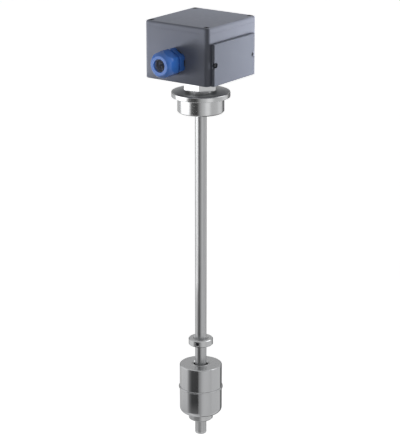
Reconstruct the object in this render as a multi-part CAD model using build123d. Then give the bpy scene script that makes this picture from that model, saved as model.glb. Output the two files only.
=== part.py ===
from build123d import *
from math import cos, radians
import os

# Magnetic immersion probe: a level switch that is screwed into the top of a tank.
# The origin lies on the guide tube's axis, in the sealing face under the plug's disc.
# +Z points up to the terminal housing, and the cable gland faces -Y. Millimetres.

os.makedirs("parts", exist_ok=True)

# Fits shared by all the pieces
press_gap = 0.05        # radial gap where one piece is pushed or screwed into another
running_gap = 0.3       # gap between pieces that slide or turn past each other

# Process plug and the hexagon over it
spigot_d = 47.8         # outside of the G 1 1/2 thread
spigot_length = 16.0
spigot_chamfer = 1.2
disc_d = 60.0
disc_thickness = 5.3
disc_edge = 1.2         # rounding of the disc's upper rim
neck_d = 25.0
neck_height = 2.4
plug_stub_d = 20.0      # threaded stub that the hexagon screws onto
plug_stub_height = 8.6
hexagon_across_flats = 32.0
hexagon_height = 14.3
hexagon_chamfer = 1.0
entry_thread_d = 20.0   # threads that pass through the housing: hexagon and gland
thread_past_nut = 1.5   # bare thread beyond each lock nut
lock_nut_across_flats = 26.0
lock_nut_height = 5.0
lock_nut_chamfer = 0.8

# Guide tube
probe_length = 368.5    # sealing face to the tip of the tube
tube_d = 12.0
tube_wall = 1.0
tube_rise = 1.6         # tube above the hexagon's top face
tip_length = 3.0
tip_edge = 1.6
tip_spigot_length = 4.0

# Stop collars, clamped on the tube
stop_d = 25.6
stop_height = 7.0
stop_edge = 0.7
stop_mouth_d = 16.4     # countersink of the bore at both ends
lower_stop_from_tip = 17.2
set_screw_d = 4.0
set_screw_mouth = 0.4   # countersink round the screw
set_screw_recess = 1.2
upper_screw_angle = 18.7    # direction of the screw, from -Y towards +X
lower_screw_angle = 198.7
set_screw_socket = 2.0

# Float
float_d = 44.6
float_height = 54.3     # over its flat ends
float_wall = 0.8
float_top_edge = 1.5
float_bottom_edge = 5.5
float_boss_d = 19.4     # raised ring round the bore at each end
float_boss_height = 0.5
float_seam_from_top = 25.8
float_bead_d = 46.6     # welded lip round the seam
float_bead_height = 1.8
float_bore_d = 15.0
float_mouth_d = 17.6    # countersink of the bore at both ends
core_wall = 0.8
float_travel = 21.0
magnet_d = 28.0
magnet_height = 12.0
clip_d = 20.4
clip_height = 1.0

# Contact board in the tube
board_thickness = 1.0
board_side_gap = 0.9    # board's edge to the bore's wall
board_above_stop = 9.0  # board's top end above the upper collar
reed_d = 2.2
reed_glass_length = 11.0
reed_leg_d = 0.5
reed_leg_reach = 2.0

# Terminal housing
housing_width = 77.5    # along X
housing_depth = 84.0    # along Y
housing_height = 58.4   # over the lid
housing_wall = 3.5
housing_floor = 3.5
housing_corner = 4.5
housing_bottom_edge = 0.8
lid_height = 6.0
lid_plate = 2.6
lid_edge = 2.2
seam_edge = 0.1         # broken edge of the lid along the seam
lid_screw_inset = 5.0   # screw axis from both outer faces
lid_screw_d = 3.0
lid_screw_head_d = 5.5
lid_screw_head_height = 2.8
lid_screw_sunk = 0.2    # head's top below the lid's top
lid_screw_length = 13.0
lid_screw_socket = 2.5
lid_screw_head_gap = 0.25
gasket_width = 1.8
gasket_height = 1.4
gasket_inset = 0.85     # gasket's outer edge from the outer face
gasket_past_screw = 2.6 # gasket's outer edge from the screw's axis

# Side plate on the +X face
plate_thickness = 3.7
plate_width = 70.3
plate_height = 42.2
plate_offset = -1.15    # plate's middle from the box's middle
plate_edge = 0.6
plate_notch_r = 2.5
plate_notch_inset = 3.4
plate_notch_depth = 2.2
plate_notch_height = 21.0
plate_pin_d = 2.0
plate_pin_head_d = 4.4
plate_pin_head_height = 1.5
plate_pin_depth = 2.4

# Cable gland on the -Y face
gland_x = -1.1
gland_height = 21.2     # gland's axis above the housing's underside
gland_across_flats = 24.5
gland_flange_height = 8.0
gland_chamfer = 0.9
gland_barrel_d = 21.5
gland_barrel_length = 9.5
gland_way_d = 13.4      # clear way through the body
gland_seal_d = 17.2
gland_seal_bore_d = 11.0
gland_seal_length = 9.8
gland_seal_seat = 9.0   # seat of the seal, from the housing's face
cap_nut_across_flats = 25.6
cap_nut_round_d = 28.4  # turned outline over the hexagon's corners
cap_nut_length = 14.8
cap_nut_mouth_d = 13.2
cap_nut_lip = 1.2       # thickness of the mouth's rim
cap_nut_flare_d = 17.4  # the mouth widens to this behind its rim
cap_nut_face_d = 19.4
cap_nut_dome = 8.5      # length of the dome
cap_nut_bulge = 0.72    # how full the dome is, half way along it
cap_nut_advance = 2.25  # one and a half turns of a 1.5 mm thread
cap_nut_spare = 0.5     # thread still bare when the nut is tight
pressure_ring_d = 20.0
pressure_ring_bore_d = 13.0
pressure_ring_height = 1.5

# Sealing rings under the hexagon's and the gland's flanges
ring_cord_d = 1.5
ring_past_thread = 1.1  # ring's inner edge from the thread

# Terminals inside the housing
pole_count = 4
pole_pitch = 8.0
block_width = 16.0
block_base_height = 6.0
block_top_width = 11.0
block_height = 13.0
block_ear = 8.0
block_from_back = 24.0  # block's middle from the back face
block_boss_d = 7.0
block_boss_height = 10.5
contact_size = 5.0
contact_length = 12.0
clamp_screw_d = 2.5
clamp_screw_head_d = 4.0
clamp_screw_head_height = 1.6
clamp_screw_spacing = 7.0
fixing_screw_d = 3.0
fixing_screw_head_d = 5.6
fixing_screw_head_height = 2.0
fixing_screw_depth = 8.0
lead_d = 1.4
lead_bend = 3.6
lead_run_in = 5.0       # straight run in front of the terminals
lead_entry = 3.0        # stripped end inside the contact
earth_from_side = 12.5
earth_from_front = 18.0
earth_boss_d = 8.0
earth_boss_height = 5.0
earth_screw_d = 4.0
earth_screw_head_d = 7.0
earth_screw_head_height = 2.6
earth_screw_depth = 6.0
earth_washer_d = 9.0
earth_washer_height = 1.0

# Heights that follow from these, from the bottom up
tip_z = -probe_length
tube_foot_z = tip_z + tip_length
lower_stop_z = tip_z + lower_stop_from_tip
float_low_z = lower_stop_z + stop_height + running_gap + float_boss_height
float_top_z = float_low_z + float_height
float_middle_z = (float_low_z + float_top_z) / 2
float_seam_z = float_top_z - float_seam_from_top
upper_stop_z = float_top_z + float_boss_height + float_travel + running_gap
board_foot_z = tube_foot_z + tip_spigot_length
board_top_z = upper_stop_z + stop_height + board_above_stop
neck_top_z = disc_thickness + neck_height
housing_z = neck_top_z + hexagon_height
floor_z = housing_z + housing_floor
tube_top_z = housing_z + tube_rise
housing_top_z = housing_z + housing_height
seam_z = housing_top_z - lid_height
block_z = floor_z + block_boss_height
contact_z = block_z + block_base_height - contact_size / 2
tube_bore_d = tube_d - 2 * tube_wall
core_d = float_bore_d + 2 * core_wall
board_width = tube_bore_d - 2 * board_side_gap
lead_y = -(board_thickness + lead_d) / 2 - press_gap
block_y = housing_depth / 2 - block_from_back
earth_x = earth_from_side - housing_width / 2
earth_y = earth_from_front - housing_depth / 2
stub_length = housing_wall + lock_nut_height + thread_past_nut

# Frames in which the gland and the side plate are built, both facing outward along their own Z
gland_place = Plane(origin=(gland_x, -housing_depth / 2, housing_z + gland_height),
                    x_dir=(1, 0, 0), z_dir=(0, -1, 0)).location
plate_place = Plane(origin=(housing_width / 2, plate_offset, housing_z + plate_height / 2),
                    x_dir=(0, 1, 0), z_dir=(1, 0, 0)).location
FROM_BASE = (Align.CENTER, Align.CENTER, Align.MIN)


def save(node, *solids):
    """Write one node: a single piece, or a group of like pieces that stand apart."""
    shape = solids[0] if len(solids) == 1 else Compound(children=list(solids))
    shape.label = node
    export_step(shape, f"parts/{node}.step")


def bar(diameter, low, high):
    """A round bar on the local Z axis."""
    return Pos(0, 0, low) * Cylinder(diameter / 2, high - low, align=FROM_BASE)


def sleeve(outer, inner, low, high):
    """A plain ring on the local Z axis."""
    return bar(outer, low, high) - bar(inner, low, high)


def countersink(mouth_d, bore_d, end, direction):
    """A cone of 45 degrees that widens a bore towards its end, which faces up (1) or down (-1)."""
    depth = (mouth_d - bore_d) / 2
    if direction > 0:
        return Pos(0, 0, end - depth) * Cone(bore_d / 2, mouth_d / 2, depth, align=FROM_BASE)
    return Pos(0, 0, end) * Cone(mouth_d / 2, bore_d / 2, depth, align=FROM_BASE)


def prism(sketch, low, high):
    """A sketch drawn up from one height to another."""
    return Pos(0, 0, low) * extrude(sketch, high - low)


def hexagon(across_flats, turn=0):
    return RegularPolygon(across_flats / 2, 6, major_radius=False, rotation=turn)


def round_edge(solid, height, diameter, radius):
    """Round the edge of a turned piece that lies at one height and diameter."""
    found = [e for e in solid.edges().filter_by(GeomType.CIRCLE)
             if abs(e.radius - diameter / 2) < 0.01 and abs(e.arc_center.Z - height) < 0.01]
    return fillet(found, radius)


def break_edge(solid, height, diameter, size):
    """Chamfer the edge of a turned piece that lies at one height and diameter."""
    found = [e for e in solid.edges().filter_by(GeomType.CIRCLE)
             if abs(e.radius - diameter / 2) < 0.01 and abs(e.arc_center.Z - height) < 0.01]
    return chamfer(found, size)


def turned_corners(across_flats, low, high, drop):
    """The outline that a lathe leaves on a hexagon's corners at both of its ends."""
    corner_d = across_flats / cos(radians(30))
    blank = bar(corner_d + 0.2, low, high)
    for height in (low, high):
        blank = break_edge(blank, height, corner_d + 0.2, drop)
    return blank


def hexagon_nut(across_flats, bore, low, high, drop, turn=0):
    nut = prism(hexagon(across_flats, turn), low, high) & turned_corners(across_flats, low, high, drop)
    return nut - bar(bore, low, high)


def sealing_ring(thread, height):
    """A sealing ring of round cord about a thread, lying between two faces."""
    return Pos(0, 0, height) * Torus(thread / 2 + ring_past_thread + ring_cord_d / 2, ring_cord_d / 2)


def sealing_groove(thread, low, high):
    inner = thread + 2 * (ring_past_thread - press_gap)
    return sleeve(inner + 2 * (ring_cord_d + 2 * press_gap), inner, low, high)


def socket_screw(shank_d, length, head_d, head_height, socket):
    """A cylinder-head screw hanging from z = 0, the underside of its head."""
    screw = bar(shank_d, -length, 0) + bar(head_d, 0, head_height)
    screw = break_edge(screw, head_height, head_d, 0.3)
    return screw - prism(hexagon(socket), head_height / 2, head_height)


def slotted_screw(shank_d, length, head_d, head_height):
    """A slotted screw hanging from z = 0, the underside of its head."""
    screw = bar(shank_d, -length, 0) + bar(head_d, 0, head_height)
    slot = Pos(0, 0, head_height / 2) * Box(head_d, shank_d / 4, head_height / 2, align=FROM_BASE)
    return screw - slot


# Process connection
def process_plug():
    """Disc, threaded spigot, neck and upper stub, turned in one piece round the tube's bore."""
    plug = bar(spigot_d, -spigot_length, 0) + bar(disc_d, 0, disc_thickness)
    plug += bar(neck_d, disc_thickness, neck_top_z)
    plug += bar(plug_stub_d, neck_top_z, neck_top_z + plug_stub_height)
    plug = break_edge(plug, -spigot_length, spigot_d, spigot_chamfer)
    plug = round_edge(plug, disc_thickness, disc_d, disc_edge)
    plug = round_edge(plug, 0, disc_d, disc_edge / 3)
    return plug - bar(tube_d + 2 * press_gap, -spigot_length, neck_top_z + plug_stub_height)


def housing_adapter():
    """Hexagon screwed onto the plug's stub, with the thread that carries the housing."""
    top = floor_z + lock_nut_height + thread_past_nut
    adapter = prism(hexagon(hexagon_across_flats), neck_top_z, housing_z)
    adapter &= turned_corners(hexagon_across_flats, neck_top_z, housing_z, hexagon_chamfer)
    adapter += bar(entry_thread_d, housing_z, top)
    adapter -= bar(plug_stub_d + 2 * press_gap, neck_top_z, neck_top_z + plug_stub_height)
    adapter -= bar(tube_d + 2 * press_gap, neck_top_z, top)
    return adapter - sealing_groove(entry_thread_d, housing_z - ring_cord_d, housing_z)


# Guide tube and its stops
def tube_end_plug():
    """Welded foot of the tube: a rounded end and a spigot inside the bore."""
    foot = round_edge(bar(tube_d, tip_z, tube_foot_z), tip_z, tube_d, tip_edge)
    return foot + bar(tube_bore_d - 2 * press_gap, tube_foot_z, board_foot_z)


def stop_collar(low, angle):
    """Clamped ring, countersunk at both ends, with a tapped hole for its set screw."""
    bore_d = tube_d + 2 * press_gap
    hole_d = set_screw_d + 2 * press_gap
    collar = bar(stop_d, low, low + stop_height)
    collar = break_edge(collar, low, stop_d, stop_edge)
    collar = break_edge(collar, low + stop_height, stop_d, stop_edge)
    collar -= bar(bore_d, low, low + stop_height)
    collar -= countersink(stop_mouth_d, bore_d, low, -1)
    collar -= countersink(stop_mouth_d, bore_d, low + stop_height, 1)
    hole = bar(hole_d, 0, stop_d / 2) + countersink(hole_d + 2 * set_screw_mouth, hole_d, stop_d / 2, 1)
    return collar - set_screw_place(low, angle) * hole


def set_screw_place(low, angle):
    """Frame on the tube's axis at the collar's middle, with its Z along the set screw."""
    return Pos(0, 0, low + stop_height / 2) * Rot(0, 0, angle) * Rot(90, 0, 0)


def set_screw(low, angle):
    start = tube_d / 2 + press_gap
    end = stop_d / 2 - set_screw_recess
    screw = bar(set_screw_d, start, end) - prism(hexagon(set_screw_socket), (start + end) / 2, end)
    return set_screw_place(low, angle) * screw


# Float
def float_cup(end, edge, direction):
    """One drawn shell of the float: wall, rounded end, raised ring round the bore and half the lip."""
    def up(distance):
        return float_seam_z + direction * distance

    def disc(diameter, start, stop):
        return bar(diameter, min(up(start), up(stop)), max(up(start), up(stop)))

    half = abs(end - float_seam_z)
    inner_d = float_d - 2 * float_wall
    boss_inner_d = float_boss_d - 2 * float_wall
    shell = round_edge(disc(float_d, 0, half), end, float_d, edge)
    boss = disc(float_boss_d, half - edge, half + float_boss_height)
    boss = round_edge(boss, up(half + float_boss_height), float_boss_d, float_boss_height / 2)
    lip = disc(float_bead_d, 0, float_bead_height / 2)
    lip = round_edge(lip, up(float_bead_height / 2), float_bead_d, float_bead_height / 4)
    hollow = disc(inner_d, 0, half - float_wall)
    hollow = round_edge(hollow, up(half - float_wall), inner_d, edge - float_wall)
    hollow += disc(boss_inner_d, half - edge, half + float_boss_height - float_wall)
    bore = disc(core_d + 2 * press_gap, 0, half + float_boss_height)
    mouth = countersink(float_mouth_d, float_bore_d, up(half + float_boss_height), direction)
    return shell + boss + lip - hollow - bore - mouth


def float_core_tube():
    """Sleeve through the float, countersunk with the shells where it is welded in."""
    low = float_low_z - float_boss_height
    high = float_top_z + float_boss_height
    core = sleeve(core_d, float_bore_d, low, high)
    core -= countersink(float_mouth_d, float_bore_d, low, -1)
    return core - countersink(float_mouth_d, float_bore_d, high, 1)


def magnet_clip(low):
    """Retaining ring pushed onto the core tube beside the magnet."""
    return sleeve(clip_d, core_d + 2 * press_gap, low, low + clip_height)


# Contacts inside the tube
def contact_board():
    board = Pos(0, 0, board_foot_z) * Box(board_width, board_thickness, board_top_z - board_foot_z,
                                          align=FROM_BASE)
    return board


def reed_contact(middle):
    """Glass contact with a wire leg bent back to the board at each end."""
    offset = board_thickness / 2 + reed_d / 2 + press_gap
    half = reed_glass_length / 2
    glass = bar(reed_d, -half, half)
    glass = round_edge(glass, -half, reed_d, reed_d / 3)
    glass = round_edge(glass, half, reed_d, reed_d / 3)
    contact = glass + bar(reed_leg_d, -half - reed_leg_reach, half + reed_leg_reach)
    for end in (-half - reed_leg_reach + reed_leg_d / 2, half + reed_leg_reach - reed_leg_d / 2):
        leg = Cylinder(reed_leg_d / 2, offset - board_thickness / 2, align=FROM_BASE)
        contact += Pos(0, 0, end) * Rot(-90, 0, 0) * leg
    return Pos(0, -offset, middle) * contact


# Housing
def at_corners():
    """The housing's four outer corners, seen from above."""
    half_x = housing_width / 2
    half_y = housing_depth / 2
    return [Pos(x, y) for x in (-half_x, half_x) for y in (-half_y, half_y)]


def at_lid_screws(height):
    half_x = housing_width / 2 - lid_screw_inset
    half_y = housing_depth / 2 - lid_screw_inset
    return [Pos(x, y, height) for x in (-half_x, half_x) for y in (-half_y, half_y)]


def corner_bites(radius):
    """Squares over the four corners, whose inner corner is an arc about the screw's axis."""
    side = 2 * (lid_screw_inset + radius)
    return Sketch() + [place * RectangleRounded(side, side, radius) for place in at_corners()]


def outline():
    return RectangleRounded(housing_width, housing_depth, housing_corner)


def inside_line(inset, past_screw):
    """The outline moved inward, and led round the inner side of the four screws."""
    frame = Rectangle(housing_width - 2 * inset, housing_depth - 2 * inset)
    return frame - corner_bites(past_screw)


def cavity_line():
    past_gasket = gasket_past_screw + gasket_width + gasket_inset
    return inside_line(housing_wall, past_gasket)


def gasket_line(gap=0.0):
    outer = inside_line(gasket_inset - gap, gasket_past_screw - gap)
    far = gasket_width + gap
    return outer - inside_line(gasket_inset + far, gasket_past_screw + far)


def at_block_fixings(height):
    reach = (pole_count * pole_pitch + block_ear) / 2
    return [Pos(x, block_y, height) for x in (-reach, reach)]


def housing_body():
    """Die-cast box with corner pillars for the lid screws, and bosses on its floor."""
    box = prism(outline(), housing_z, seam_z)
    box = fillet(box.faces().sort_by(Axis.Z)[0].edges(), housing_bottom_edge)
    box -= prism(cavity_line(), floor_z, seam_z)
    for place in at_block_fixings(floor_z):
        box += place * bar(block_boss_d, -housing_floor / 2, block_boss_height)
        box -= place * bar(fixing_screw_d + 2 * press_gap, block_boss_height - fixing_screw_depth,
                           block_boss_height)
    earth = Pos(earth_x, earth_y, floor_z)
    box += earth * bar(earth_boss_d, -housing_floor / 2, earth_boss_height)
    box -= earth * bar(earth_screw_d + 2 * press_gap, earth_boss_height - earth_screw_depth,
                       earth_boss_height)
    for place in at_lid_screws(seam_z):
        box -= place * bar(lid_screw_d + 2 * press_gap, -lid_screw_length, 0)
    for side in (-1, 1):
        box -= plate_place * plate_pin_axis(side) * bar(plate_pin_d + 2 * press_gap, -plate_pin_depth, 0)
    box -= bar(entry_thread_d + 2 * press_gap, housing_z, floor_z)
    return box - gland_place * bar(entry_thread_d + 2 * press_gap, -housing_wall, 0)


def housing_lid():
    """Lid with a rounded top edge, sunk holes for the corner screws and a gasket groove."""
    lid = prism(outline(), seam_z, housing_top_z)
    lid = fillet(lid.faces().sort_by(Axis.Z)[-1].edges(), lid_edge)
    lid = chamfer(lid.faces().sort_by(Axis.Z)[0].edges(), seam_edge)
    lid -= prism(cavity_line(), seam_z, housing_top_z - lid_plate)
    lid -= prism(gasket_line(press_gap), seam_z, seam_z + gasket_height)
    head_hole_d = lid_screw_head_d + 2 * lid_screw_head_gap
    for place in at_lid_screws(seam_z):
        lid -= place * bar(lid_screw_d + 2 * press_gap, 0, lid_height)
        lid -= place * bar(head_hole_d, lid_screw_seat_z() - seam_z, lid_height)
    return lid


def lid_screw_seat_z():
    return housing_top_z - lid_screw_sunk - lid_screw_head_height


def lid_screws():
    length = lid_screw_seat_z() - seam_z + lid_screw_length
    screw = socket_screw(lid_screw_d, length, lid_screw_head_d, lid_screw_head_height, lid_screw_socket)
    return [place * screw for place in at_lid_screws(lid_screw_seat_z())]


# Side plate
def plate_pin_axis(side):
    """Axis of one pin in the plate's frame, where x runs along the plate and y up."""
    along = side * (plate_width / 2 - plate_notch_inset)
    return Pos(along, plate_notch_height - plate_height / 2, 0)


def side_plate():
    """Thick blank plate with a round notch, open to the side, over each of its two pins."""
    plate = prism(Rectangle(plate_width, plate_height), 0, plate_thickness)
    plate = chamfer(plate.faces().sort_by(Axis.Z)[-1].edges(), plate_edge)
    floor = plate_thickness - plate_notch_depth
    for side in (-1, 1):
        notch = Circle(plate_notch_r) + Pos(side * plate_notch_r, 0) * Rectangle(2 * plate_notch_r,
                                                                                 2 * plate_notch_r)
        plate -= plate_pin_axis(side) * prism(notch, floor, plate_thickness)
        plate -= plate_pin_axis(side) * bar(plate_pin_d + 2 * press_gap, 0, floor)
    return plate_place * plate


def side_plate_pins():
    """Round-head drive pins through the plate into the housing's wall."""
    floor = plate_thickness - plate_notch_depth
    pin = bar(plate_pin_d, -plate_pin_depth, floor) + bar(plate_pin_head_d, floor,
                                                          floor + plate_pin_head_height)
    pin = round_edge(pin, floor + plate_pin_head_height, plate_pin_head_d, plate_pin_head_height / 2)
    return [plate_place * plate_pin_axis(side) * pin for side in (-1, 1)]


# Cable gland, built outward from the housing's face
barrel_end = gland_flange_height + gland_barrel_length
cap_nut_rear = gland_flange_height + cap_nut_advance + running_gap + cap_nut_spare
cap_nut_front = cap_nut_rear + cap_nut_length
seal_front = gland_seal_seat + gland_seal_length
pressure_ring_z = seal_front + running_gap + cap_nut_advance


def gland_body():
    """Moulded hexagon with a threaded barrel in front and a threaded stub through the wall."""
    body = prism(hexagon(gland_across_flats, 30), 0, gland_flange_height)
    body &= turned_corners(gland_across_flats, 0, gland_flange_height, gland_chamfer)
    barrel = bar(gland_barrel_d, gland_flange_height, barrel_end)
    body += break_edge(barrel, barrel_end, gland_barrel_d, gland_chamfer)
    body += bar(entry_thread_d, -stub_length, 0)
    body -= bar(gland_way_d, -stub_length, barrel_end)
    body -= bar(gland_seal_d + 2 * press_gap, gland_seal_seat, barrel_end)
    return gland_place * (body - sealing_groove(entry_thread_d, 0, ring_cord_d))


def gland_cap_nut():
    """Domed hexagon nut with a round mouth: threaded behind, with a seat for the pressure ring."""
    face = cap_nut_face_d / 2
    full = cap_nut_round_d / 2
    dome_foot = cap_nut_front - cap_nut_dome
    bulge = (face + cap_nut_bulge * (full - face), cap_nut_front - 0.4 * cap_nut_dome)
    rim = Polyline((0, cap_nut_front), (face, cap_nut_front))
    dome = ThreePointArc((face, cap_nut_front), bulge, (full, dome_foot))
    rest = Polyline((full, dome_foot), (full, cap_nut_rear), (0, cap_nut_rear), (0, cap_nut_front))
    profile = make_face(Curve() + [rim, dome, rest])
    blank = revolve(Plane.XZ * profile, Axis.Z)
    nut = blank & prism(hexagon(cap_nut_across_flats, 30), cap_nut_rear, cap_nut_front)
    ring_end = pressure_ring_z + pressure_ring_height + running_gap
    nut -= bar(gland_barrel_d + 2 * running_gap, cap_nut_rear, pressure_ring_z)
    nut -= bar(pressure_ring_d + running_gap, cap_nut_rear, ring_end)
    flare = Cone(cap_nut_flare_d / 2, cap_nut_mouth_d / 2, cap_nut_front - cap_nut_lip - ring_end,
                 align=FROM_BASE)
    nut -= Pos(0, 0, ring_end) * flare
    return gland_place * (nut - bar(cap_nut_mouth_d, cap_nut_rear, cap_nut_front))


def gland_pressure_ring():
    """Slip ring that the cap nut pushes against the seal."""
    ring_top = pressure_ring_z + pressure_ring_height
    return gland_place * sleeve(pressure_ring_d, pressure_ring_bore_d, pressure_ring_z, ring_top)


def gland_seal():
    return gland_place * sleeve(gland_seal_d, gland_seal_bore_d, gland_seal_seat, seal_front)


# Terminals
def pole_positions():
    first = -(pole_count - 1) * pole_pitch / 2
    return [first + pole * pole_pitch for pole in range(pole_count)]


def terminal_block():
    """Moulded block with one tunnel for each pole, screw wells above and an ear at each end."""
    poles = pole_count * pole_pitch
    block = Box(poles + 2 * block_ear, block_width, block_base_height, align=FROM_BASE)
    block += Box(poles, block_top_width, block_height, align=FROM_BASE)
    middle = contact_z - block_z
    tunnel = contact_size + 2 * press_gap
    for x in pole_positions():
        block -= Pos(x, 0, middle) * Box(tunnel, block_width, tunnel)
        for y in clamp_screw_offsets():
            block -= Pos(x, y, 0) * bar(clamp_screw_head_d + 4 * press_gap, middle, block_height)
    for place in at_block_fixings(0):
        block -= Pos(0, -block_y, 0) * place * bar(fixing_screw_d + 4 * press_gap, 0, block_base_height)
    return Pos(0, block_y, block_z) * block


def clamp_screw_offsets():
    return (-clamp_screw_spacing / 2, clamp_screw_spacing / 2)


def terminal_contacts():
    """Brass bar in each pole, bored for the wires and tapped for the two clamp screws."""
    bar_top = contact_size / 2
    contact = Box(contact_size, contact_length, contact_size)
    contact -= Rot(90, 0, 0) * Cylinder(lead_d / 2 + 2 * press_gap, contact_length)
    for y in clamp_screw_offsets():
        contact -= Pos(0, y, 0) * bar(clamp_screw_d + 2 * press_gap, 0, bar_top)
    return [Pos(x, block_y, contact_z) * contact for x in pole_positions()]


def clamp_screws():
    bar_top = contact_z + contact_size / 2
    length = contact_size / 2 - lead_d / 2 - 2 * press_gap
    screw = slotted_screw(clamp_screw_d, length, clamp_screw_head_d, clamp_screw_head_height)
    return [Pos(x, block_y + y, bar_top) * screw for x in pole_positions() for y in clamp_screw_offsets()]


def fixing_screws():
    length = block_base_height + fixing_screw_depth - 1
    screw = slotted_screw(fixing_screw_d, length, fixing_screw_head_d, fixing_screw_head_height)
    return [place * screw for place in at_block_fixings(block_z + block_base_height)]


def earth_screw():
    length = earth_washer_height + earth_screw_depth - 1
    head = floor_z + earth_boss_height + earth_washer_height
    screw = slotted_screw(earth_screw_d, length, earth_screw_head_d, earth_screw_head_height)
    return Pos(earth_x, earth_y, head) * screw


def signal_lead(start_x, pole_x):
    """Insulated lead from the board's top end, up the tube and over to one terminal."""
    mouth = block_y - contact_length / 2
    foot = (start_x, lead_y, board_top_z - 2 * lead_d)
    elbow = (start_x, lead_y, contact_z)
    before = (pole_x, mouth - lead_run_in, contact_z)
    end = (pole_x, mouth + lead_entry, contact_z)
    path = FilletPolyline(foot, elbow, before, end, radius=lead_bend)
    return sweep(Plane(origin=foot, z_dir=(0, 0, 1)) * Circle(lead_d / 2), path=path)


# Write every piece
save("process_plug", process_plug())
save("housing_adapter", housing_adapter())
save("adapter_sealing_ring", sealing_ring(entry_thread_d, housing_z - ring_cord_d / 2))
save("adapter_lock_nut", hexagon_nut(lock_nut_across_flats, entry_thread_d + 2 * press_gap, floor_z,
                                     floor_z + lock_nut_height, lock_nut_chamfer))
save("guide_tube", sleeve(tube_d, tube_bore_d, tube_foot_z, tube_top_z))
save("tube_end_plug", tube_end_plug())
save("upper_stop_collar", stop_collar(upper_stop_z, upper_screw_angle))
save("upper_set_screw", set_screw(upper_stop_z, upper_screw_angle))
save("lower_stop_collar", stop_collar(lower_stop_z, lower_screw_angle))
save("lower_set_screw", set_screw(lower_stop_z, lower_screw_angle))
save("float_upper_shell", float_cup(float_top_z, float_top_edge, 1))
save("float_lower_shell", float_cup(float_low_z, float_bottom_edge, -1))
save("float_core_tube", float_core_tube())
save("float_magnet", sleeve(magnet_d, core_d + 2 * press_gap, float_middle_z - magnet_height / 2,
                            float_middle_z + magnet_height / 2))
save("magnet_clips", magnet_clip(float_middle_z - magnet_height / 2 - clip_height),
     magnet_clip(float_middle_z + magnet_height / 2))
save("contact_board", contact_board())
save("reed_contacts", reed_contact(float_middle_z), reed_contact(float_middle_z + float_travel))
save("housing_body", housing_body())
save("housing_lid", housing_lid())
save("lid_gasket", prism(gasket_line(), seam_z, seam_z + gasket_height))
save("lid_screws", *lid_screws())
save("side_plate", side_plate())
save("side_plate_pins", *side_plate_pins())
save("gland_body", gland_body())
save("gland_cap_nut", gland_cap_nut())
save("gland_pressure_ring", gland_pressure_ring())
save("gland_seal", gland_seal())
save("gland_sealing_ring", gland_place * sealing_ring(entry_thread_d, ring_cord_d / 2))
save("gland_lock_nut", gland_place * hexagon_nut(lock_nut_across_flats, entry_thread_d + 2 * press_gap,
                                                 -housing_wall - lock_nut_height, -housing_wall,
                                                 lock_nut_chamfer, 30))
save("terminal_block", terminal_block())
save("terminal_contacts", *terminal_contacts())
save("clamp_screws", *clamp_screws())
save("terminal_block_screws", *fixing_screws())
save("earth_screw", earth_screw())
save("earth_washer", Pos(earth_x, earth_y, floor_z + earth_boss_height)
     * sleeve(earth_washer_d, earth_screw_d + 2 * press_gap, 0, earth_washer_height))
lead_spread = (tube_bore_d - lead_d) / 3
for name, slot, pole in (("lead_brown", -1, 0), ("lead_white", 0, 1), ("lead_green", 1, 2)):
    save(name, signal_lead(slot * lead_spread, pole_positions()[pole]))
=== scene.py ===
from math import cos, pi, radians, sin

import bpy
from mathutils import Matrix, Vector


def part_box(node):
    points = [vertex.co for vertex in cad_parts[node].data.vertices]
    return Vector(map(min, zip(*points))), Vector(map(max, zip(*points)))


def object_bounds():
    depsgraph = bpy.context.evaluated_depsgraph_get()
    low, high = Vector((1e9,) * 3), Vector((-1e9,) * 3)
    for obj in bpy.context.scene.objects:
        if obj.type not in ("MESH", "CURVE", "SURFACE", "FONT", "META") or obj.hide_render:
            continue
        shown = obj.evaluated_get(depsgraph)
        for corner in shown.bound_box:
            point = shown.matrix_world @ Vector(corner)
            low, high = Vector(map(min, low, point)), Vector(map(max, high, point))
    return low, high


# A magnetic immersion probe in a white studio. Lengths are metres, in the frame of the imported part:
# the origin is on the guide tube's axis under the plug's disc, +Z is up and the cable gland faces -Y.

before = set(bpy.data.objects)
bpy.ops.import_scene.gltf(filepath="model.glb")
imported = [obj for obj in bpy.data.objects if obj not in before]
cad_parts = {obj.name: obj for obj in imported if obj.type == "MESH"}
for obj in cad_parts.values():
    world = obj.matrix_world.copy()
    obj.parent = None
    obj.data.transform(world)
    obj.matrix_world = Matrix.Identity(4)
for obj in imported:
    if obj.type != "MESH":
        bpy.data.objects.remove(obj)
cad_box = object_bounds()
# What the softboxes are aimed at
HOUSING_MIDDLE = sum((Vector(corner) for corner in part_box("housing_body")), Vector()) / 2

# The camera's place, fitted to the photograph: angles in degrees, distances in metres
VIEW_AZIMUTH = 36.0        # from -Y towards +X
VIEW_PITCH = 17.3          # below the horizon
VIEW_DISTANCE = 1.8698     # from the tube's axis, measured level
VIEW_HEIGHT = 0.4512
VIEW_SIDESTEP = -0.0008    # the axis stands a little right of the picture's middle
VIEW_LENS = 155.45         # mm, on a sensor whose long side is 36 mm
VIEW_REACH = 30            # how far the camera sees

TOWARDS_CAMERA = Vector((sin(radians(VIEW_AZIMUTH)), -cos(radians(VIEW_AZIMUTH)), 0))
CAMERA_RIGHT = Vector((cos(radians(VIEW_AZIMUTH)), sin(radians(VIEW_AZIMUTH)), 0))

# The studio as polished metal mirrors it. Below the horizon it has screens: degrees right of the camera,
# and how bright the screen is there
SCREENS = [
    (-180, 0.35), (-165, 0.60), (-145, 0.62), (-120, 0.66), (-105, 0.76), (-70, 0.74), (-54, 0.20),
    (-42, 0.14), (-26, 0.07), (-17, 0.06), (-9, 0.26), (0, 0.50), (10, 0.66), (20, 0.70), (60, 0.64),
    (85, 0.68), (102, 0.88), (122, 0.85), (136, 0.20), (165, 0.16), (180, 0.35),
]
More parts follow.
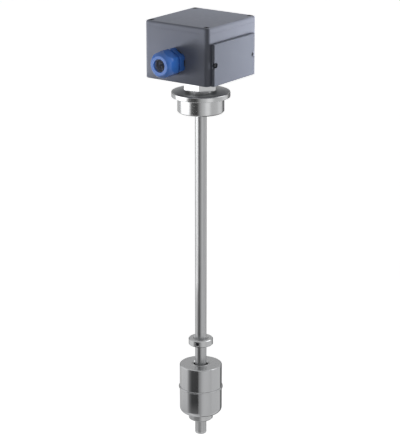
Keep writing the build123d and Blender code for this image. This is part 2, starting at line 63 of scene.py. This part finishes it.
# Above the horizon it has a backdrop and a ceiling: the sine of the height, and how bright they are there
CEILING = [(0.0, 0.24), (0.22, 0.26), (0.38, 0.60), (0.7, 0.66), (1.0, 0.8)]
# The screens give way to the backdrop between these heights, also as sines
HORIZON_FROM, HORIZON_TO = -0.06, 0.08
# Lights are added to both: the two angles that each spans, over how many degrees its ends fade, and how
# bright it is by the sine of the height
MIRRORED_LIGHTS = [
    # A tall softbox on the left, which fades out below
    (-118, -48, 12, [(-0.33, 0.0), (-0.29, 0.06), (-0.25, 0.7), (-0.19, 3.2), (0.0, 3.2), (0.10, 0.5),
                     (0.5, 0.4), (0.7, 0.0)]),
    # A low glow in front
    (17, 53, 12, [(-0.38, 0.0), (-0.31, 0.10), (-0.26, 0.36), (-0.1, 0.40), (0.1, 0.3), (0.3, 0.0)]),
    # A high softbox on the right
    (72, 122, 10, [(-0.1, 0.0), (0.05, 0.1), (0.26, 0.5), (0.36, 2.0), (0.5, 2.0), (0.8, 1.2), (0.95, 0.0)]),
    # The pale floor, under the dark screens beside the camera
    (-72, -4, 10, [(-1.0, 0.5), (-0.42, 0.5), (-0.35, 0.0)]),
]
AMBIENT = 0.17             # light from all round on surfaces that aren't polished

# The lamps: name, degrees right of the camera, degrees up, distance from the housing, width and level
SOFTBOXES = [
    ("left_softbox", -80, -12.5, 0.36, 0.105, 0.60),
    ("right_softbox", 105, -3, 0.40, 0.18, 1.99),
    ("back_softbox", 168, 38, 0.50, 0.30, 0.80),
]
SNOOT_PLACE = (0.11, -0.085, 0.075)
SNOOT_TARGET = (-0.001, -0.062, 0.044)      # in the gland
SNOOT_HALF_ANGLE = 9.0
SNOOT_SOFT_EDGE = 0.5      # share of the beam
SNOOT_RADIUS = 0.012
SNOOT_LEVEL = 0.5

# The cards round the float, as its walls mirror them: the height of each row of points, and for each
# column its angle right of the camera and how bright the card is there, from the foot up
CARD_DISTANCE = 0.10
CARD_ROWS = (-0.392, -0.376, -0.360, -0.220)
CARD_STEPS = 6             # facets from one column to the next
LEFT_CARD = [
    (-120, 0.40, 0.60, 0.69, 1.05), (-73, 0.40, 0.60, 0.69, 1.05), (-64, 0.36, 0.42, 0.38, 0.60),
    (-56, 0.32, 0.26, 0.16, 0.25), (-45, 0.30, 0.20, 0.05, 0.12), (-11, 0.30, 0.20, 0.04, 0.10),
]
RIGHT_CARD = [(55, 0.66, 0.66, 0.68, 0.72), (118, 0.68, 0.68, 0.70, 0.74)]
# The flag in front of the box's gland face: its plane, and X and Z along its top edge, which is cut out
# below the gland's mouth to leave that in the light
FLAG_Y = -0.072
FLAG_TOP = ((-0.10, 0.0075), (-0.02, 0.0235), (-0.011, 0.0305), (-0.005, 0.0315), (0.0005, 0.0335),
            (0.0035, 0.0365), (0.005, 0.040), (0.0055, 0.0446), (0.012, 0.050))
FLAG_BOTTOM = -0.03

FLOOR_DROP = 0.30          # the probe hangs this far above the floor
FLOOR_HALF = 4.0           # half the floor's width
FLOOR_GLOW = 0.85          # brings the floor to white for the camera

# Sizes of the surface patterns, in millimetres. Those marked "coarse" are drawn coarser than real, so
# that they show in a render of the whole probe
TOOL_MARK = 0.45           # between turning marks, coarse
POLISH_RING = 0.25         # between the float's polishing rings, coarse
DRAW_LINE = 0.35           # between the lines along the tube, coarse
DRAW_STRETCH = 0.02        # how little those lines change along the tube, against round it
MACHINE_MARK = 0.3         # between the marks on small metal pieces, coarse
PEEL = 1.3                 # across a dimple of the powder coat's orange peel
MOULD_TEXTURE = 0.35       # across a grain of a plastic's moulded skin, coarse
RUBBER_TEXTURE = 0.2       # across a grain of rubber, coarse
MASK_TEXTURE = 0.15        # across an unevenness of the solder mask
# Clouds are the slow changes in a finish that is nowhere quite even: how far across they are
TURNED_CLOUD, TUBE_CLOUD, FLOAT_CLOUD, SMALL_METAL_CLOUD = 9.0, 14.0, 12.0, 3.0
COAT_COLOUR_CLOUD, COAT_GLOSS_CLOUD, MOULDED_CLOUD, GLASS_CLOUD = 18.0, 5.0, 6.0, 2.5
NOISE_LOW, NOISE_HIGH = 0.3, 0.7            # most of a noise lies between these
FACED_FROM, FACED_TO = 0.8, 0.98            # a normal's upright part, from a round edge to a flat face
# How far the roughness of a small metal piece, and of a moulded one, wanders below and above its own
METAL_BELOW, METAL_ABOVE = 0.04, 0.06
MOULDED_BELOW, MOULDED_ABOVE = 0.03, 0.05
MM_PER_METRE = 1000.0


# Nodes
def linear(colour):
    """The linear colour of an sRGB hex value."""
    parts = [int(colour[i:i + 2], 16) / 255 for i in (1, 3, 5)]
    return [p / 12.92 if p <= 0.04045 else ((p + 0.055) / 1.055) ** 2.4 for p in parts] + [1.0]


def add(tree, kind, inputs=None, **settings):
    """Add a node: settings are its own options, inputs the values or the links of its sockets."""
    node = tree.nodes.new(kind)
    for name, value in settings.items():
        setattr(node, name, value)
    for name, value in (inputs or {}).items():
        if isinstance(value, bpy.types.NodeSocket):
            tree.links.new(value, node.inputs[name])
        else:
            node.inputs[name].default_value = value
    return node


def fill_ramp(ramp, stops):
    """Give a colour ramp its stops: places from 0 to 1, each with a grey."""
    while len(ramp.elements) < len(stops):
        ramp.elements.new(0.5)
    for element, (place, grey) in zip(ramp.elements, stops):
        element.position = place
        element.color = (grey, grey, grey, 1)


def surface(name, values):
    """A material and its shader, with the values that are the same all over on the shader's own sockets."""
    material = bpy.data.materials.new(name)
    material.use_nodes = True
    shader = material.node_tree.nodes["Principled BSDF"]
    for socket, value in values.items():
        shader.inputs[socket].default_value = value
    return material, material.node_tree, shader


def join(tree, shader, sources):
    """Link what varies over the surface to the shader's sockets."""
    for socket, source in sources.items():
        tree.links.new(source, shader.inputs[socket])


# Camera
def camera():
    """The photograph's view of the probe."""
    data = bpy.data.cameras.new("photo_camera")
    data.lens = VIEW_LENS
    data.clip_end = VIEW_REACH
    eye = bpy.data.objects.new("photo_camera", data)
    level = TOWARDS_CAMERA * VIEW_DISTANCE + CAMERA_RIGHT * VIEW_SIDESTEP
    eye.location = level + Vector((0, 0, VIEW_HEIGHT))
    eye.rotation_euler = (radians(90 - VIEW_PITCH), 0, radians(VIEW_AZIMUTH))
    bpy.context.collection.objects.link(eye)
    bpy.context.scene.camera = eye


# Studio
def straight_ray(tree):
    """1 for a ray that comes straight from the camera, or through glass."""
    ray = add(tree, "ShaderNodeLightPath").outputs
    return add(tree, "ShaderNodeMath", {0: ray["Is Camera Ray"], 1: ray["Is Transmission Ray"]},
               operation="MAXIMUM").outputs[0]


def studio_world():
    """White behind the object, even soft light on it, and screens round it for the polished metal."""
    world = bpy.data.worlds.new("studio")
    bpy.context.scene.world = world
    world.use_nodes = True
    world.cycles.sampling_method = "NONE"
    tree = world.node_tree
    tree.nodes.clear()
    way = add(tree, "ShaderNodeTexCoord").outputs["Generated"]
    ahead = add(tree, "ShaderNodeVectorMath", {0: way, 1: TOWARDS_CAMERA}, operation="DOT_PRODUCT")
    aside = add(tree, "ShaderNodeVectorMath", {0: way, 1: CAMERA_RIGHT}, operation="DOT_PRODUCT")
    angle = add(tree, "ShaderNodeMath", {0: aside.outputs["Value"], 1: ahead.outputs["Value"]},
                operation="ARCTAN2").outputs[0]
    turn = add(tree, "ShaderNodeMath", {0: angle, 1: 1 / (2 * pi), 2: 0.5},
               operation="MULTIPLY_ADD").outputs[0]
    screens = add(tree, "ShaderNodeValToRGB", {"Fac": turn})
    fill_ramp(screens.color_ramp, [(degrees / 360 + 0.5, grey) for degrees, grey in SCREENS])
    height = add(tree, "ShaderNodeSeparateXYZ", {0: way}).outputs["Z"]
    rise = add(tree, "ShaderNodeMath", {0: height, 1: 0.5, 2: 0.5}, operation="MULTIPLY_ADD").outputs[0]
    ceiling = add(tree, "ShaderNodeValToRGB", {"Fac": height})
    fill_ramp(ceiling.color_ramp, CEILING)
    above = add(tree, "ShaderNodeMapRange",
                {"Value": height, "From Min": HORIZON_FROM, "From Max": HORIZON_TO},
                interpolation_type="SMOOTHSTEP").outputs[0]
    studio = add(tree, "ShaderNodeMix", {"Factor": above, "A": screens.outputs["Color"],
                                         "B": ceiling.outputs["Color"]}, data_type="RGBA").outputs["Result"]
    for start, end, fade, greys in MIRRORED_LIGHTS:
        tall = add(tree, "ShaderNodeValToRGB", {"Fac": rise})
        fill_ramp(tall.color_ramp, [(sine / 2 + 0.5, grey) for sine, grey in greys])
        wide = add(tree, "ShaderNodeValToRGB", {"Fac": turn})
        fill_ramp(wide.color_ramp, [(start / 360 + 0.5, 0), ((start + fade) / 360 + 0.5, 1),
                                    ((end - fade) / 360 + 0.5, 1), (end / 360 + 0.5, 0)])
        lit = add(tree, "ShaderNodeVectorMath", {0: tall.outputs["Color"], 1: wide.outputs["Color"]},
                  operation="MULTIPLY").outputs[0]
        studio = add(tree, "ShaderNodeVectorMath", {0: studio, 1: lit}, operation="ADD").outputs[0]
    glossy = add(tree, "ShaderNodeLightPath").outputs["Is Glossy Ray"]
    mirrored = add(tree, "ShaderNodeBackground", {"Color": studio, "Strength": 1.0}).outputs[0]
    plain = add(tree, "ShaderNodeBackground", {"Color": (1, 1, 1, 1), "Strength": AMBIENT}).outputs[0]
    white = add(tree, "ShaderNodeBackground", {"Color": (1, 1, 1, 1), "Strength": 1.0}).outputs[0]
    light = add(tree, "ShaderNodeMixShader", {0: glossy, 1: plain, 2: mirrored}).outputs[0]
    view = add(tree, "ShaderNodeMixShader", {0: straight_ray(tree), 1: light, 2: white}).outputs[0]
    add(tree, "ShaderNodeOutputWorld", {"Surface": view})


def around(angle):
    """The level direction at an angle right of the camera."""
    return TOWARDS_CAMERA * cos(radians(angle)) + CAMERA_RIGHT * sin(radians(angle))


def hang_lamp(name, data, place, way):
    """Hang a lamp that shines back along the way to it. Polished metal mirrors the studio instead."""
    lamp = bpy.data.objects.new(name, data)
    lamp.location = place
    lamp.rotation_mode = "QUATERNION"
    lamp.rotation_quaternion = way.to_track_quat("Z", "Y")
    lamp.visible_glossy = False
    bpy.context.collection.objects.link(lamp)


def softbox(name, angle, height, distance, width, level):
    """A soft round lamp on the housing. Level 1 lights a surface that faces it to its own colour."""
    data = bpy.data.lights.new(name, "AREA")
    data.shape = "DISK"
    data.size = width
    data.energy = level * (pi * distance) ** 2
    way = around(angle) * cos(radians(height)) + Vector((0, 0, sin(radians(height))))
    hang_lamp(name, data, HOUSING_MIDDLE + way * distance, way)


def gland_snoot():
    """A lamp with a narrow beam, for the gland alone, and with the same measure of its level."""
    data = bpy.data.lights.new("gland_snoot", "SPOT")
    data.spot_size = 2 * radians(SNOOT_HALF_ANGLE)
    data.spot_blend = SNOOT_SOFT_EDGE
    data.shadow_soft_size = SNOOT_RADIUS
    way = Vector(SNOOT_PLACE) - Vector(SNOOT_TARGET)
    data.energy = SNOOT_LEVEL * (2 * pi * way.length) ** 2
    hang_lamp("gland_snoot", data, SNOOT_PLACE, way)


def card(name, places, faces, levels=()):
    """A studio card out of the camera's sight. Polished metal mirrors its levels, and without them it is a
    matt black flag, which only casts a shadow."""
    mesh = bpy.data.meshes.new(name)
    mesh.from_pydata(places, [], faces)
    sheet = bpy.data.objects.new(name, mesh)
    bpy.context.collection.objects.link(sheet)
    sheet.visible_camera = sheet.visible_diffuse = sheet.visible_transmission = False
    sheet.visible_shadow = not levels
    sheet.visible_glossy = bool(levels)
    material, tree, shader = surface("matt studio card",
                                     {"Base Color": linear("#1A1A1B"), "Roughness": 0.95})
    if levels:
        mesh.attributes.new("level", "FLOAT", "POINT").data.foreach_set("value", levels)
        shader.inputs["Emission Color"].default_value = (1, 1, 1, 1)
        level = add(tree, "ShaderNodeAttribute", attribute_name="level")
        join(tree, shader, {"Emission Strength": level.outputs["Fac"]})
    mesh.materials.append(material)


def float_card(name, columns):
    """A card bent round the float, shaded evenly from column to column."""
    places, levels = [], []
    for before, after in zip(columns, columns[1:]):
        for step in range(CARD_STEPS + 1):
            angle, *shades = [a + (b - a) * step / CARD_STEPS for a, b in zip(before, after)]
            side = around(angle)
            places += [(side.x * CARD_DISTANCE, side.y * CARD_DISTANCE, z) for z in CARD_ROWS]
            levels += shades
    rows = len(CARD_ROWS)
    faces = [(i, i + rows, i + rows + 1, i + 1) for i in range(len(places) - rows) if (i + 1) % rows]
    card(name, places, faces, levels)


def box_flag():
    """A flag that keeps the left softbox off the foot of the gland's face, and more of it to the right."""
    left, right = FLAG_TOP[0][0], FLAG_TOP[-1][0]
    corners = [(right, FLAG_BOTTOM), (left, FLAG_BOTTOM), *FLAG_TOP]
    card("box_flag", [(x, FLAG_Y, z) for x, z in corners], [tuple(range(len(corners)))])


def floor():
    """A pale floor under the hanging probe: white to the camera, and darker only in the probe's shadow."""
    half, z = FLOOR_HALF, cad_box[0].z - FLOOR_DROP
    mesh = bpy.data.meshes.new("floor")
    mesh.from_pydata([(-half, -half, z), (half, -half, z), (half, half, z), (-half, half, z)], [],
                     [(0, 1, 2, 3)])
    ground = bpy.data.objects.new("floor", mesh)
    bpy.context.collection.objects.link(ground)
    ground.visible_glossy = False
    material, tree, shader = surface("matt white studio paint", {
        "Base Color": linear("#E8E8E8"), "Roughness": 0.9, "Emission Color": (1, 1, 1, 1)})
    glow = add(tree, "ShaderNodeMath", {0: straight_ray(tree), 1: FLOOR_GLOW}, operation="MULTIPLY")
    join(tree, shader, {"Emission Strength": glow.outputs[0]})
    mesh.materials.append(material)


# Patterns, all in millimetres on the piece itself
def millimetres(tree):
    """Where a point lies on its piece."""
    where = add(tree, "ShaderNodeTexCoord").outputs["Object"]
    return add(tree, "ShaderNodeVectorMath", {0: where, "Scale": MM_PER_METRE},
               operation="SCALE").outputs[0]


def rings(tree, where, spacing, detail):
    """Fine rings round the Z axis, up the height of a wall and out along the radius of a face."""
    height = add(tree, "ShaderNodeSeparateXYZ", {0: where}).outputs["Z"]
    flat = add(tree, "ShaderNodeVectorMath", {0: where, 1: (1, 1, 0)}, operation="MULTIPLY").outputs[0]
    radius = add(tree, "ShaderNodeVectorMath", {0: flat}, operation="LENGTH").outputs["Value"]
    feed = add(tree, "ShaderNodeMath", {0: height, 1: radius}, operation="ADD").outputs[0]
    return add(tree, "ShaderNodeTexNoise", {"W": feed, "Scale": 1 / spacing, "Detail": detail},
               noise_dimensions="1D").outputs["Fac"]


def wander(tree, shader, tint, low, high, wear, smooth, dull):
    """Let the colour wander between two hex values with the tint, and the roughness between two numbers
    with the wear."""
    colour = add(tree, "ShaderNodeMix", {"Factor": tint, "A": linear(low), "B": linear(high)},
                 data_type="RGBA")
    rough = add(tree, "ShaderNodeMapRange", {"Value": wear, "From Min": NOISE_LOW, "From Max": NOISE_HIGH,
                                             "To Min": smooth, "To Max": dull})
    join(tree, shader, {"Base Color": colour.outputs["Result"], "Roughness": rough.outputs[0]})


def duller_ends(tree, shader, extra):
    """Leave the faces across the axis rougher than the rest, as the polishing passes them by."""
    normal = add(tree, "ShaderNodeTexCoord").outputs["Normal"]
    along = add(tree, "ShaderNodeSeparateXYZ", {0: normal}).outputs["Z"]
    upright = add(tree, "ShaderNodeMath", {0: along}, operation="ABSOLUTE").outputs[0]
    rise = add(tree, "ShaderNodeMapRange", {"Value": upright, "From Min": FACED_FROM, "From Max": FACED_TO,
                                            "To Min": 0.0, "To Max": extra}).outputs[0]
    polished = shader.inputs["Roughness"].links[0].from_socket
    rough = add(tree, "ShaderNodeMath", {0: polished, 1: rise}, operation="ADD")
    join(tree, shader, {"Roughness": rough.outputs[0]})


def relief(tree, shader, height, depth, edge):
    """Let the light see the height as a relief of some depth, over edges that are broken to a radius."""
    inputs = {"Height": height, "Distance": depth / MM_PER_METRE}
    if edge:
        bevel = add(tree, "ShaderNodeBevel", {"Radius": edge / MM_PER_METRE}, samples=4)
        inputs["Normal"] = bevel.outputs[0]
    join(tree, shader, {"Normal": add(tree, "ShaderNodeBump", inputs).outputs[0]})


# Steel
def turned_steel():
    """Stainless bar, turned: bright, with the tool's fine rings, which draw each reflection out across
    them."""
    material, tree, shader = surface("turned stainless steel", {"Metallic": 1.0, "Anisotropic": 0.4})
    where = millimetres(tree)
    marks = rings(tree, where, TOOL_MARK, detail=2.0)
    cloud = add(tree, "ShaderNodeTexNoise", {"Vector": where, "Scale": 1 / TURNED_CLOUD}).outputs["Fac"]
    wander(tree, shader, marks, "#C4C5C7", "#D2D3D3", cloud, smooth=0.13, dull=0.17)
    duller_ends(tree, shader, extra=0.26)
    relief(tree, shader, marks, depth=0.0006, edge=0.25)
    spin = add(tree, "ShaderNodeTangent", direction_type="RADIAL", axis="Z")
    join(tree, shader, {"Tangent": spin.outputs[0]})
    return material


def drawn_tube():
    """Stainless tube, drawn and polished lengthwise: a satin sheen with faint lines along it."""
    material, tree, shader = surface("polished drawn steel tube", {"Metallic": 1.0})
    where = millimetres(tree)
    along = add(tree, "ShaderNodeVectorMath", {0: where, 1: (1, 1, DRAW_STRETCH)},
                operation="MULTIPLY").outputs[0]
    lines = add(tree, "ShaderNodeTexNoise",
                {"Vector": along, "Scale": 1 / DRAW_LINE, "Detail": 3.0}).outputs["Fac"]
    cloud = add(tree, "ShaderNodeTexNoise", {"Vector": where, "Scale": 1 / TUBE_CLOUD}).outputs["Fac"]
    wander(tree, shader, lines, "#B6B7B9", "#C3C4C4", cloud, smooth=0.29, dull=0.32)
    relief(tree, shader, lines, depth=0.0004, edge=0.2)
    return material


def polished_float():
    """Deep-drawn stainless sheet, polished as it turned: broad soft reflections with faint rings in them."""
    material, tree, shader = surface("polished deep-drawn steel", {"Metallic": 1.0})
    where = millimetres(tree)
    marks = rings(tree, where, POLISH_RING, detail=3.0)
    cloud = add(tree, "ShaderNodeTexNoise", {"Vector": where, "Scale": 1 / FLOAT_CLOUD}).outputs["Fac"]
    wander(tree, shader, marks, "#C1C2C4", "#C9CACB", cloud, smooth=0.11, dull=0.14)
    duller_ends(tree, shader, extra=0.14)
    relief(tree, shader, marks, depth=0.0002, edge=0.25)
    return material


def small_metal(name, low, high, roughness):
    """A small machined or plated piece: its own metal colour, with the fine marks of its making."""
    material, tree, shader = surface(name, {"Metallic": 1.0})
    where = millimetres(tree)
    marks = add(tree, "ShaderNodeTexNoise",
                {"Vector": where, "Scale": 1 / MACHINE_MARK, "Detail": 3.0}).outputs["Fac"]
    cloud = add(tree, "ShaderNodeTexNoise",
                {"Vector": where, "Scale": 1 / SMALL_METAL_CLOUD}).outputs["Fac"]
    wander(tree, shader, marks, low, high, cloud, roughness - METAL_BELOW, roughness + METAL_ABOVE)
    relief(tree, shader, marks, depth=0.004, edge=0.12)
    return material


# Paint, plastics and glass
def powder_coat(name, low, high):
    """Polyester powder coat, stoved on a die casting: semi-matt grey with a faint orange peel."""
    material, tree, shader = surface(name, {"Specular IOR Level": 0.3})
    where = millimetres(tree)
    tint = add(tree, "ShaderNodeTexNoise",
               {"Vector": where, "Scale": 1 / COAT_COLOUR_CLOUD}).outputs["Fac"]
    cloud = add(tree, "ShaderNodeTexNoise",
                {"Vector": where, "Scale": 1 / COAT_GLOSS_CLOUD}).outputs["Fac"]
    peel = add(tree, "ShaderNodeTexNoise",
               {"Vector": where, "Scale": 1 / PEEL, "Detail": 1.0}).outputs["Fac"]
    wander(tree, shader, tint, low, high, cloud, smooth=0.36, dull=0.43)
    relief(tree, shader, peel, depth=0.012, edge=0.45)
    return material


def moulded(name, low, high, roughness, texture=MOULD_TEXTURE, depth=0.01, edge=0.3, gloss=0.5):
    """A moulded, pressed or extruded piece: its colour goes right through, and a fine texture breaks up
    its gloss."""
    material, tree, shader = surface(name, {"Specular IOR Level": gloss})
    where = millimetres(tree)
    tint = add(tree, "ShaderNodeTexNoise", {"Vector": where, "Scale": 1 / MOULDED_CLOUD}).outputs["Fac"]
    skin = add(tree, "ShaderNodeTexNoise", {"Vector": where, "Scale": 1 / texture}).outputs["Fac"]
    wander(tree, shader, tint, low, high, skin, roughness - MOULDED_BELOW, roughness + MOULDED_ABOVE)
    relief(tree, shader, skin, depth, edge)
    return material


def contact_glass():
    """Drawn green glass round the contacts: clear, smooth and tinted where it is thick."""
    material, tree, shader = surface("sealed green contact glass", {
        "Transmission Weight": 0.85, "IOR": 1.48, "Roughness": 0.03})
    cloud = add(tree, "ShaderNodeTexNoise", {"Vector": millimetres(tree), "Scale": 1 / GLASS_CLOUD})
    colour = add(tree, "ShaderNodeMix", {"Factor": cloud.outputs["Fac"], "A": linear("#8FC79B"),
                                         "B": linear("#A8D8B2")}, data_type="RGBA")
    join(tree, shader, {"Base Color": colour.outputs["Result"]})
    return material


camera()
studio_world()
for box in SOFTBOXES:
    softbox(*box)
gland_snoot()
floor()
float_card("left_float_card", LEFT_CARD)
float_card("right_float_card", RIGHT_CARD)
box_flag()

# The finishes, each with what it gives the eye
steel = turned_steel()
tube = drawn_tube()
float_steel = polished_float()
# Black oxide on steel: small dark spots in the grey lid and plate, with a low shine
blackened = small_metal("blackened screw steel", "#3A3C41", "#4C4E53", 0.42)
# Stainless as it was cut: a dull grey point in the bright collar
set_screw = small_metal("dull stainless set-screw steel", "#77797E", "#8A8C90", 0.40)
# Bright zinc plate: pale and a little blue, with a soft shine
zinc = small_metal("zinc-plated steel", "#B9BEC4", "#CCD0D4", 0.34)
# Nickel over brass: a warm silver with a clear shine
nickel = small_metal("nickel-plated brass", "#C6C1B4", "#D6D2C6", 0.24)
# Bare brass, milled: yellow and bright
brass = small_metal("machined bare brass", "#C9A558", "#DDBB6E", 0.28)
# Tempered spring strip: mid grey with a hard shine
spring = small_metal("bright spring steel", "#8E9297", "#A9ADB2", 0.26)
# Ferrite, pressed, sintered and ground: near black and stony
ferrite = moulded("ground ferrite", "#26262A", "#34343A", 0.55)
# The box's coat is a mid grey with a breath of blue, and the plate's is a shade darker
housing_coat = powder_coat("grey powder coat", "#7B7F8C", "#828693")
plate_coat = powder_coat("blue-grey powder coat", "#6F7380", "#757A86")
# Polyamide from a polished mould: strong blue, the glossiest of the plastics, with soft round edges
blue = moulded("blue moulded polyamide", "#346ABC", "#3A73C8", 0.19, depth=0.006, edge=0.5, gloss=0.65)
# Acetal: dense and waxy, warm white in the terminals, and a pale cool grey in the gland that is partly
# painted light
white = moulded("white moulded acetal", "#DDDCD4", "#E6E5DE", 0.4)
# Painted light: the gland's ring is lighter and bluer than acetal, to lift the shade in the gland's mouth
# and to stand in for a bluish highlight on the cap nut's lip
grey_ring_painted_light = moulded("pale grey moulded acetal, lightened as painted light", "#CDD1DC", "#D6DAE4", 0.35)
# Rubber: matt, as if dusty, black in the sealing rings, and pale grey in the gland, which is partly painted
# light
rubber = moulded("black nitrile rubber", "#141416", "#1E1E21", 0.72, texture=RUBBER_TEXTURE)
# Painted light: the gland's seal is lighter than its rubber, to brighten the shaded hole of the gland
grey_rubber_painted_light = moulded("pale grey silicone rubber, lightened as painted light", "#D2D2D4", "#DADADC", 0.6, texture=RUBBER_TEXTURE)
# Solder mask over glass laminate, nearly as even as a moulding: deep green under a thin gloss
laminate = moulded("green solder mask on laminate", "#0E4A26", "#14582E", 0.3, texture=MASK_TEXTURE,
                   depth=0.004, edge=0)
glass = contact_glass()
# Extruded PVC: smooth, softly glossy sleeves in three plain colours
brown_pvc = moulded("brown PVC sleeve", "#4A2A16", "#57331C", 0.33, depth=0.004, edge=0)
white_pvc = moulded("white PVC sleeve", "#DCDBD6", "#E7E6E1", 0.33, depth=0.004, edge=0)
green_pvc = moulded("green PVC sleeve", "#1C6B2C", "#237A35", 0.33, depth=0.004, edge=0)

FINISHES = {
    "process_plug": steel, "housing_adapter": steel, "adapter_sealing_ring": rubber,
    "adapter_lock_nut": nickel, "guide_tube": tube, "tube_end_plug": steel, "upper_stop_collar": steel,
    "upper_set_screw": set_screw, "lower_stop_collar": steel, "lower_set_screw": set_screw,
    "float_upper_shell": float_steel, "float_lower_shell": float_steel, "float_core_tube": float_steel,
    "float_magnet": ferrite, "magnet_clips": spring, "contact_board": laminate, "reed_contacts": glass,
    "housing_body": housing_coat, "housing_lid": housing_coat, "lid_gasket": rubber,
    "lid_screws": blackened, "side_plate": plate_coat, "side_plate_pins": blackened,
    "gland_body": blue, "gland_cap_nut": blue, "gland_pressure_ring": grey_ring_painted_light, "gland_seal": grey_rubber_painted_light,
    "gland_sealing_ring": rubber, "gland_lock_nut": nickel, "terminal_block": white,
    "terminal_contacts": brass, "clamp_screws": zinc, "terminal_block_screws": zinc, "earth_screw": zinc,
    "earth_washer": zinc, "lead_brown": brown_pvc, "lead_white": white_pvc, "lead_green": green_pvc,
}
for name, material in FINISHES.items():
    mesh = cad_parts[name].data
    mesh.materials.clear()
    mesh.materials.append(material)

bpy.context.scene.view_settings.view_transform = "Standard"
